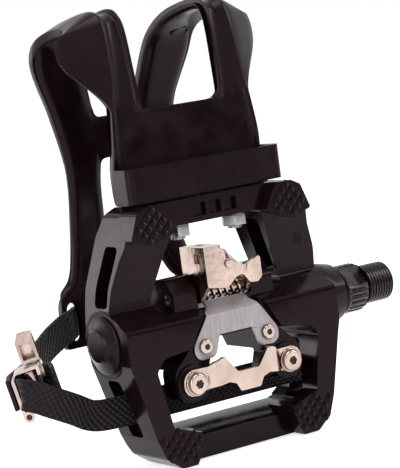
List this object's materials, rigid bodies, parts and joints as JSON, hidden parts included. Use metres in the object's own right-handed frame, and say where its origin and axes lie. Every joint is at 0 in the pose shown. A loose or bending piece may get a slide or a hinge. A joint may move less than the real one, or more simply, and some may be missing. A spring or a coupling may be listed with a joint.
{
  "type": "toe clip pedal",
  "caption": "Bicycle pedal with a spring cleat mechanism on one face, a toe cage with a woven strap and a roller buckle.",
  "frame": {"origin": "on the spindle axis, at the shoulder that meets the crank", "axes": "+X along the spindle out of the pedal towards the crank, +Z towards the toe end, -Y out of the cleat face"},
  "size_m": [0.1569, 0.0713, 0.1546],
  "materials": {
    "black_paint": "gloss",
    "black_plastic": "gloss",
    "black_steel": "satin",
    "nickel_steel": "bright",
    "plate_steel": "satin",
    "ball_steel": "ground",
    "rubber_seal": "matt",
    "black_webbing": "woven"
  },
  "bodies": {
    "spindle_set": {"spindle": "black_steel", "adjusting_cone": "ball_steel", "lock_washer": "ball_steel", "lock_nut": "ball_steel"},
    "pedal": {"frame": "black_paint", "dust_cap": "black_plastic", "inner_balls": "ball_steel", "outer_balls": "ball_steel", "inner_bearing_cup": "ball_steel", "outer_bearing_cup": "ball_steel", "spindle_seal": "rubber_seal", "fixed_claw": "nickel_steel", "claw_washers": "nickel_steel", "claw_screws": "nickel_steel", "cover_plate": "plate_steel", "cover_screws": "nickel_steel", "jaw_pivot_pin": "nickel_steel", "jaw_spring": "nickel_steel", "toe_cage": "black_plastic", "cage_bumper": "black_plastic", "cage_bolts": "nickel_steel", "cage_washers": "nickel_steel", "cage_nuts": "nickel_steel", "buckle_frame": "nickel_steel", "roller_pin": "nickel_steel", "lever_pin": "nickel_steel", "strap": "black_webbing"},
    "jaw": {"spring_jaw": "nickel_steel", "tension_plate": "nickel_steel"},
    "tension_screw": {"tension_bolt": "nickel_steel"},
    "roller": {"buckle_roller": "nickel_steel"},
    "lever": {"buckle_lever": "nickel_steel"}
  },
  "joints": [
    {"name": "pedal_spin", "type": "hinge", "parent": "spindle_set", "child": "pedal", "pos_m": [-0.0656, 0, 0], "axis": [1, 0, 0], "continuous": true},
    {"name": "jaw_open", "type": "hinge", "parent": "pedal", "child": "jaw", "pos_m": [-0.0656, -0.0065, 0.0114], "axis": [-1, 0, 0], "range_deg": [0, 14], "stiffness_Nm_per_rad": 0.6},
    {"name": "tension_turn", "type": "hinge", "parent": "jaw", "child": "tension_screw", "pos_m": [-0.072, -0.008, 0.024], "axis": [0, 0, 1], "continuous": true},
    {"name": "roller_turn", "type": "hinge", "parent": "pedal", "child": "roller", "pos_m": [-0.13464, 0.00805, -0.0099], "axis": [0.1681, -0.1071, -0.9799], "continuous": true},
    {"name": "lever_lift", "type": "hinge", "parent": "pedal", "child": "lever", "pos_m": [-0.13087, 0.01324, -0.00982], "axis": [-0.1681, 0.1071, 0.9799], "range_deg": [0, 12]}
  ]
}
